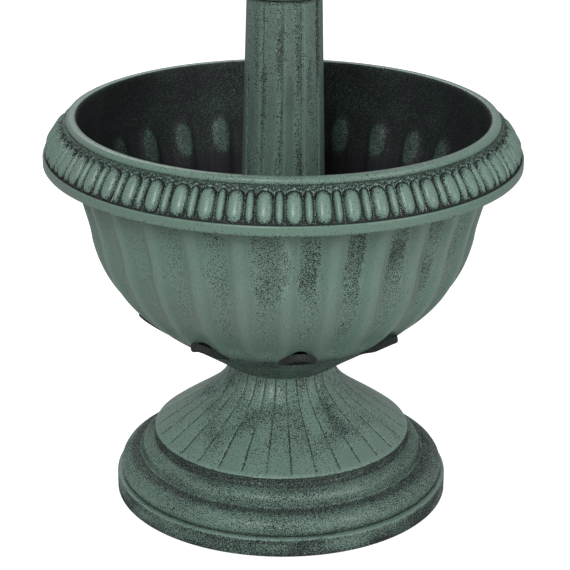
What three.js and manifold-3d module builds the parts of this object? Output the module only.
// A pedestal bird bath in moulded resin: a stepped plinth with a reeded cone, a fluted planter bowl with an
// egg-and-dart rim, a grooved column rising from its middle, and a shallow drinking basin that lifts off.
// Millimetres, +Z up, origin on the floor under the middle. Azimuth 0 is the front, towards -Y.
import * as THREE from "three";
import { mergeVertices } from "three/addons/utils/BufferGeometryUtils.js";
import Module from "manifold-3d";

const wasm = await Module();
wasm.setup();

// Driving dimensions.
const WALL = 3.5; // moulded shell thickness
const GAP = 0.3; // clearance left between touching pieces
const ROD_HOLE = 5; // radius of every hole that the tie rod passes
const FOOT_R = 144; // plinth band
const CONE_FOOT = { r: 110.6, z: 56.6 }; // lower edge of the reeded cone
const NECK = { r: 44.5, z: 117.7 }; // top of the cone
const BOWL_FLOOR_Z = 119.5; // underside of the planter bowl
const BOWL_HUB_R = 49.5;
const LIP = { inner: 170.5, outer: 179.8, z: 338.8 }; // planter lip
const SKIRT = { r: 199.7, bottom: 299, top: 307.5 }; // plain band under the eggs
const COLUMN_TAPER = 0.0256; // radius lost for each millimetre of height
const COLUMN_FOOT_R = 38.9;
const FLANGE = { r: 47.5, z: 125.8, thick: 4 };
const COLUMN_JOINT_Z = 438.3; // top of the lower tube
const COLLAR_HEIGHT = 24;
const CAPITAL = { z: 648, height: 44, top: 64 };
const BASIN = { floor: 692.6, r: 240, lip: 744, inner: 208 };
const REEDS = 32;
const BOWL_FLUTES = 28;
const BASIN_FLUTES = 30;
const COLUMN_FLUTES = 12;
const DRAINS = 9;
const FRONT_REED = -0.8; // azimuth in degrees of the front reed, flute ridge, column groove and drain
const FRONT_RIDGE = 1;
const FRONT_GROOVE = -3;
const FRONT_DRAIN = 7;
const FILLER = { r: 17, x: 0, y: 62 }; // filler hole in the base plate, behind the middle
const BASE_SCREWS_R = 127; // radii of the circles that the screws stand on
const FLANGE_SCREWS_R = 43;
const HUB_SCREWS_R = 36;
const PILOT_R = 1.9; // screw hole
const BASIN_DRAIN_R = 11;

const resin = new THREE.MeshStandardMaterial({ color: 0x7d9a8a, roughness: 0.55, metalness: 0 });
const darkResin = new THREE.MeshStandardMaterial({ color: 0x2b2a30, roughness: 0.6, metalness: 0 });
const rubber = new THREE.MeshStandardMaterial({ color: 0x17171a, roughness: 0.85, metalness: 0 });
const steel = new THREE.MeshStandardMaterial({ color: 0xb4b7ba, roughness: 0.35, metalness: 1 });

const group = new THREE.Group();

function add(name, geometry, material) {
  const mesh = new THREE.Mesh(geometry, material);
  mesh.name = name;
  group.add(mesh);
  return mesh;
}

// Points of an outline, as radius and height, drawn by path commands.
function outline(r, z, draw, divisions = 6) {
  const path = new THREE.Path();
  path.moveTo(r, z);
  draw(path);
  return path.getPoints(divisions);
}

// Turns a loop of outline points about the Z axis. The loop runs up the outside and down the inside.
// dip(point) is how far the flutes cut in at that point, halfway between two ridges.
function turned(points, sides, ridgeAzimuth = 0, dip = null) {
  const loop = points.map((p) => new THREE.Vector2(p.x, p.y));
  if (loop[0].x > 0 || loop.at(-1).x > 0) loop.push(loop[0].clone());
  const lathe = new THREE.LatheGeometry(loop, sides, THREE.MathUtils.degToRad(ridgeAzimuth));
  const spots = lathe.getAttribute("position");
  for (let i = 1; dip && i < sides; i += 2) {
    loop.forEach((p, j) => {
      const k = i * loop.length + j;
      const shrink = p.x > 0 ? 1 - dip(p) / p.x : 1;
      spots.setX(k, spots.getX(k) * shrink);
      spots.setZ(k, spots.getZ(k) * shrink);
    });
  }
  return lathe.rotateX(Math.PI / 2);
}

// A plain ring or disc of one section: radii and heights.
function ring(inner, outer, bottom, top, sides = 24) {
  return turned(
    outline(outer, bottom, (path) => path.lineTo(outer, top).lineTo(inner, top).lineTo(inner, bottom)),
    sides,
  );
}

function rod(r, bottom, top, sides = 12) {
  return turned(
    outline(0, bottom, (path) => path.lineTo(r, bottom).lineTo(r, top).lineTo(0, top)),
    sides,
  );
}

function solid(geometry) {
  const bare = geometry.clone();
  bare.deleteAttribute("normal");
  bare.deleteAttribute("uv");
  const merged = mergeVertices(bare, 1e-4);
  return new wasm.Manifold(
    new wasm.Mesh({
      numProp: 3,
      vertProperties: merged.getAttribute("position").array,
      triVerts: new Uint32Array(merged.index.array),
    }),
  );
}

function surface(body) {
  const mesh = body.getMesh();
  return new THREE.BufferGeometry()
    .setAttribute("position", new THREE.BufferAttribute(mesh.vertProperties, 3))
    .setIndex(new THREE.BufferAttribute(mesh.triVerts, 1));
}

const cut = (geometry, tools) =>
  surface(tools.reduce((body, tool) => body.subtract(solid(tool)), solid(geometry)));
const join = (geometry, tools) =>
  surface(tools.reduce((body, tool) => body.add(solid(tool)), solid(geometry)));

// Places a copy of a geometry at each of count azimuths, radius r from the axis.
function around(geometry, count, r, first = 0) {
  return Array.from({ length: count }, (_, i) => {
    const azimuth = THREE.MathUtils.degToRad(first + (360 * i) / count);
    return geometry.clone().translate(0, -r, 0).rotateZ(azimuth);
  });
}

// A pan-head screw pointing up or down from the face under its head.
function screw(faceZ, length, pointsUp) {
  const [headR, headH, shankR] = [3.6, 2.4, 1.6];
  const away = pointsUp ? -1 : 1; // the side of the face that the head is on
  const points = outline(0, faceZ + away * headH, (path) =>
    path
      .lineTo(headR * 0.7, faceZ + away * headH)
      .lineTo(headR, faceZ + away * headH * 0.5)
      .lineTo(headR, faceZ)
      .lineTo(shankR, faceZ)
      .lineTo(shankR, faceZ - away * (length - 1.5))
      .lineTo(0, faceZ - away * length),
  );
  return turned(pointsUp ? points : points.reverse(), 10);
}

// Plinth: a band, a fat roll, a bead, a smaller roll and a cove, then the reeded cone up to the neck.
function plinthFoot() {
  const outside = outline(FOOT_R, 1, (path) =>
    path
      .lineTo(FOOT_R, 15.6)
      .lineTo(142.8, 16.6)
      .lineTo(139, 17.2)
      .bezierCurveTo(142, 25, 138, 33, 127, 35)
      .lineTo(122, 35.5)
      .lineTo(121.5, 38.5)
      .quadraticCurveTo(120.5, 46, 111, 47.5)
      .quadraticCurveTo(106, 51, CONE_FOOT.r - 1.5, 55.4)
      .lineTo(CONE_FOOT.r, CONE_FOOT.z)
      .bezierCurveTo(78, 82, 50, 92, NECK.r, NECK.z),
    4);
  const inside = outline(ROD_HOLE, NECK.z, (path) =>
    path
      .lineTo(ROD_HOLE, NECK.z - 5)
      .lineTo(NECK.r - WALL, NECK.z - 5)
      .bezierCurveTo(47, 90, 74, 80, 104, 53)
      .lineTo(106, 44)
      .lineTo(FOOT_R - 2 * WALL, 14)
      .lineTo(FOOT_R - WALL, 1),
    3);
  const isReeded = (p) => p.y > CONE_FOOT.z + 1 && p.y < NECK.z - 1;
  const reedDip = (p) => (isReeded(p) && outside.some((q) => q.equals(p)) ? 1.8 : 0);
  const shell = turned([...outside, ...inside], 2 * REEDS, FRONT_REED, reedDip);
  const boss = ring(PILOT_R, 6, 9.5, 24, 10);
  return join(shell, around(boss, 4, BASE_SCREWS_R, 45));
}

// Planter bowl: a hub disc, a cup, the fluted wall and the rim with its band for the eggs and the lip.
function planterBowl() {
  const flutedFrom = 166;
  const flutedTo = 292;
  const outside = outline(BOWL_HUB_R, BOWL_FLOOR_Z, (path) =>
    path
      .lineTo(60, 127)
      .bezierCurveTo(100, 155, 150, 178, 162.2, 240)
      .bezierCurveTo(163.5, 256, 172, 272, 174.8, 302)
      .lineTo(SKIRT.r - 2.5, 302)
      .lineTo(SKIRT.r - 2.5, SKIRT.bottom)
      .lineTo(SKIRT.r, SKIRT.bottom)
      .lineTo(SKIRT.r, SKIRT.top)
      .lineTo(195.5, 309)
      .lineTo(184.5, 327)
      .lineTo(LIP.outer - 1, 332)
      .lineTo(LIP.outer, LIP.z - 1.2)
      .lineTo(LIP.outer - 1.2, LIP.z),
    4);
  const inside = outline(LIP.inner, LIP.z, (path) =>
    path
      .lineTo(LIP.inner + 0.8, 302)
      .bezierCurveTo(168.5, 272, 160, 256, 158.5, 241)
      .bezierCurveTo(146, 180, 98, 159, 58, 131)
      .lineTo(50, BOWL_FLOOR_Z + 6)
      .lineTo(ROD_HOLE, BOWL_FLOOR_Z + 6)
      .lineTo(ROD_HOLE, BOWL_FLOOR_Z),
    4);
  const fluteDip = (p) => (p.y > flutedFrom && p.y < flutedTo ? 4.5 : 0);
  const shell = turned([...outside, ...inside], 2 * BOWL_FLUTES, FRONT_RIDGE, fluteDip);

  // Each drain is a half ellipse with its straight side under a flute, cut square to the sloping cup.
  const drain = new THREE.Shape();
  drain.moveTo(12.5, 0).absellipse(0, 0, 12.5, 22, 0, -Math.PI, true);
  const slope = THREE.MathUtils.degToRad(34);
  const port = new THREE.ExtrudeGeometry(drain, { depth: 24, bevelEnabled: false, curveSegments: 5 })
    .translate(0, 0, -12)
    .rotateX(Math.PI - slope)
    .translate(0, 0, 157);
  const pilot = rod(PILOT_R, BOWL_FLOOR_Z + 1.2, 130, 10);
  return cut(shell, [
    ...around(port, DRAINS, 105, FRONT_DRAIN),
    ...around(pilot, 4, FLANGE_SCREWS_R, 45),
  ]);
}

// A tapering column tube with a groove every 30 degrees.
function columnTube(bottom, top, bottomR) {
  const topR = bottomR - (top - bottom) * COLUMN_TAPER;
  const outside = outline(bottomR, bottom, (path) => path.lineTo(topR, top));
  const inside = outline(topR - WALL, top, (path) => path.lineTo(bottomR - WALL, bottom));
  return turned([...outside, ...inside], 2 * COLUMN_FLUTES, FRONT_GROOVE + 15, (p) =>
    outside.some((q) => q.equals(p)) ? 1.2 : 0,
  );
}

function lowerColumn() {
  const tube = columnTube(FLANGE.z + 1, COLUMN_JOINT_Z, COLUMN_FOOT_R);
  const top = FLANGE.z + FLANGE.thick;
  const flange = turned(
    outline(FLANGE.r, FLANGE.z, (path) =>
      path
        .lineTo(FLANGE.r, top - 1)
        .lineTo(FLANGE.r - 1, top)
        .lineTo(COLUMN_FOOT_R - 2, top)
        .lineTo(COLUMN_FOOT_R - 2, FLANGE.z),
    ),
    48,
  );
  return cut(join(tube, [flange]), around(rod(PILOT_R, 120, 135, 10), 4, FLANGE_SCREWS_R, 45));
}

// The collar hides the joint of the two tubes, and a spigot on each side goes into them.
function collar(bottom, tubeR) {
  const top = bottom + COLLAR_HEIGHT;
  const spigotR = tubeR - WALL - GAP - 1;
  return turned(
    outline(tubeR + 1, bottom, (path) =>
      path
        .lineTo(tubeR + 3, bottom + 1)
        .bezierCurveTo(tubeR + 7, bottom + 2, tubeR + 7, bottom + 8, tubeR + 3, bottom + 9)
        .quadraticCurveTo(tubeR, bottom + 12, tubeR + 2, bottom + 15)
        .bezierCurveTo(tubeR + 5, bottom + 16, tubeR + 5, bottom + 22, tubeR + 1, bottom + 23)
        .lineTo(tubeR, top)
        .lineTo(spigotR - 1, top)
        .lineTo(spigotR - 2, top + 14)
        .lineTo(spigotR - 5, top + 14)
        .lineTo(spigotR - 5, bottom - 14)
        .lineTo(spigotR - 1, bottom - 14)
        .lineTo(spigotR, bottom),
      3),
    24,
  );
}

// The capital flares from the upper tube to a cup that the basin's hub drops into.
function capital(tubeR) {
  const { z, height, top } = CAPITAL;
  const seat = z + height;
  const spigotR = tubeR - WALL - GAP - 1;
  return turned(
    outline(tubeR + 2, z, (path) =>
      path
        .bezierCurveTo(tubeR + 8, z + 1, tubeR + 8, z + 8, tubeR + 3, z + 9)
        .bezierCurveTo(tubeR + 4, z + 24, top - 12, z + 30, top - 2, seat - 6)
        .lineTo(top, seat - 5)
        .lineTo(top, seat)
        .lineTo(46, seat)
        .lineTo(45, seat - 12)
        .lineTo(24, seat - 12)
        .lineTo(24, seat - 24)
        .lineTo(ROD_HOLE, seat - 24)
        .lineTo(ROD_HOLE, z + 14)
        .lineTo(spigotR - 4, z + 14)
        .lineTo(spigotR - 4, z - 14)
        .lineTo(spigotR - 1, z - 14)
        .lineTo(spigotR, z),
      3),
    40,
  );
}

// Drinking basin: a shallow dish with a fluted underside, the same rim as the bowl, and a drain hole.
function drinkingBasin(drainR) {
  const { floor, r, lip, inner } = BASIN;
  const outside = outline(drainR, floor, (path) =>
    path
      .lineTo(CAPITAL.top - 4, floor)
      .bezierCurveTo(120, floor + 2, 180, floor + 10, r - 27, lip - 36)
      .lineTo(r - 2.5, lip - 36)
      .lineTo(r - 2.5, lip - 39)
      .lineTo(r, lip - 39)
      .lineTo(r, lip - 31)
      .lineTo(r - 4, lip - 29.5)
      .lineTo(r - 15, lip - 12)
      .lineTo(r - 20, lip - 7)
      .lineTo(r - 19.5, lip - 1.2)
      .lineTo(r - 21, lip),
    4);
  const inside = outline(inner, lip, (path) =>
    path
      .quadraticCurveTo(inner - 1, lip - 25, 176, floor + 14)
      .bezierCurveTo(140, floor + 6, 90, floor + 4.5, 40, floor + 4)
      .lineTo(drainR, floor + 4),
    3);
  const isFluted = (p) => p.x > 80 && p.x < r - 20 && p.y < lip - 30;
  return turned([...outside, ...inside], 2 * BASIN_FLUTES, 0, (p) => (isFluted(p) ? 3.5 : 0));
}

// Base plate that closes the ballast chamber, with the filler hole and four screw holes.
function basePlate() {
  const plate = turned(
    outline(0, 5.5, (path) => path.lineTo(136.5, 5.5).lineTo(136.5, 9.2).lineTo(0, 9.2)),
    48,
  );
  const filler = rod(FILLER.r + GAP, 0, 20, 24).translate(FILLER.x, FILLER.y, 0);
  return cut(plate, [filler, ...around(rod(PILOT_R, 0, 20, 10), 4, BASE_SCREWS_R, 45)]);
}

add("plinth_foot", plinthFoot(), resin);
add("base_plate", basePlate(), darkResin);
around(screw(5.2, 16, true), 4, BASE_SCREWS_R, 45).forEach((g, i) =>
  add(`base_screw_${i + 1}`, g, steel),
);
around(rod(13, 0, 5.2, 20), 4, 104).forEach((g, i) => add(`foot_pad_${i + 1}`, g, rubber));

// The filler bung turns in the base plate: a flanged disc with a coin slot, and its seal above the plate.
const bungDisc = turned(
  outline(0, 2.4, (path) =>
    path
      .lineTo(22, 2.4)
      .lineTo(22, 5.2)
      .lineTo(FILLER.r - GAP, 5.2)
      .lineTo(FILLER.r - GAP, 15)
      .lineTo(0, 15),
  ),
  24,
);
const coinSlot = new THREE.BoxGeometry(24, 3, 2.4).translate(0, 0, 2.4);
add("filler_bung", cut(bungDisc, [coinSlot]).translate(FILLER.x, FILLER.y, 0), darkResin);
add("bung_seal", ring(FILLER.r, 21, 9.5, 11.5).translate(FILLER.x, FILLER.y, 0), rubber);

add("neck_gasket", ring(14, NECK.r - 0.5, NECK.z + GAP, BOWL_FLOOR_Z - GAP, 32), rubber);
add("planter_bowl", planterBowl(), resin);
add("lower_column", lowerColumn(), resin);
around(screw(FLANGE.z + FLANGE.thick + GAP, 8.5, false), 4, FLANGE_SCREWS_R, 45).forEach((g, i) =>
  add(`flange_screw_${i + 1}`, g, steel),
);

const collarR = COLUMN_FOOT_R - (COLUMN_JOINT_Z - FLANGE.z - 1) * COLUMN_TAPER;
const upperFootZ = COLUMN_JOINT_Z + COLLAR_HEIGHT + 2 * GAP;
const upperTopZ = CAPITAL.z - GAP;
const capitalR = collarR - (upperTopZ - upperFootZ) * COLUMN_TAPER;
add("column_collar", collar(COLUMN_JOINT_Z + GAP, collarR), resin);
add("upper_column", columnTube(upperFootZ, upperTopZ, collarR), resin);
add("capital", capital(capitalR), resin);

// Tie rod from under the neck plate to the floor of the capital, with a washer and a nut at each end.
const rodTop = CAPITAL.z + CAPITAL.height - 14;
const rodSeat = CAPITAL.z + CAPITAL.height - 24;
add("tie_rod", rod(4, 92, rodTop, 12), steel);
const nut = (bottom) => cut(rod(7.5, bottom, bottom + 6.5, 6), [rod(4 + GAP, 0, 800, 24)]);
add("rod_washer_lower", ring(4 + GAP, 12, NECK.z - 5 - 2.1, NECK.z - 5 - GAP), steel);
add("rod_nut_lower", nut(NECK.z - 5 - 2.4 - 6.5), steel);
add("rod_washer_upper", ring(4 + GAP, 12, rodSeat + GAP, rodSeat + 2.1), steel);
add("rod_nut_upper", nut(rodSeat + 2.4), steel);

// Basin, its hub ring with three screws, and the drain plug with its pull knob on a rubber seat.
const basinPilots = around(rod(PILOT_R, 0, BASIN.floor + 2.4, 10), 3, HUB_SCREWS_R);
add("drinking_basin", cut(drinkingBasin(BASIN_DRAIN_R), basinPilots), resin);
const hub = ring(22, 42, BASIN.floor - 8, BASIN.floor - GAP, 32);
add("basin_hub", cut(hub, basinPilots), darkResin);
around(screw(BASIN.floor - 8 - GAP, 10, true), 3, HUB_SCREWS_R).forEach((g, i) =>
  add(`hub_screw_${i + 1}`, g, steel),
);
const plugSeat = BASIN.floor + 4 + GAP;
add("plug_seal", ring(BASIN_DRAIN_R - 0.5, 15, plugSeat, plugSeat + 1.5), rubber);
const plugTop = plugSeat + 1.5 + GAP;
const plugBody = turned(
  outline(0, BASIN.floor - 4, (path) =>
    path
      .lineTo(8, BASIN.floor - 4)
      .lineTo(BASIN_DRAIN_R - 1, plugTop)
      .lineTo(16, plugTop)
      .lineTo(16, plugTop + 2)
      .lineTo(13, plugTop + 3)
      .lineTo(4, plugTop + 4)
      .lineTo(4, plugTop + 8)
      .lineTo(7.5, plugTop + 10)
      .lineTo(6.5, plugTop + 12.5)
      .lineTo(0, plugTop + 13),
  ),
  20,
);
add("drain_plug", plugBody, rubber);

export default group;
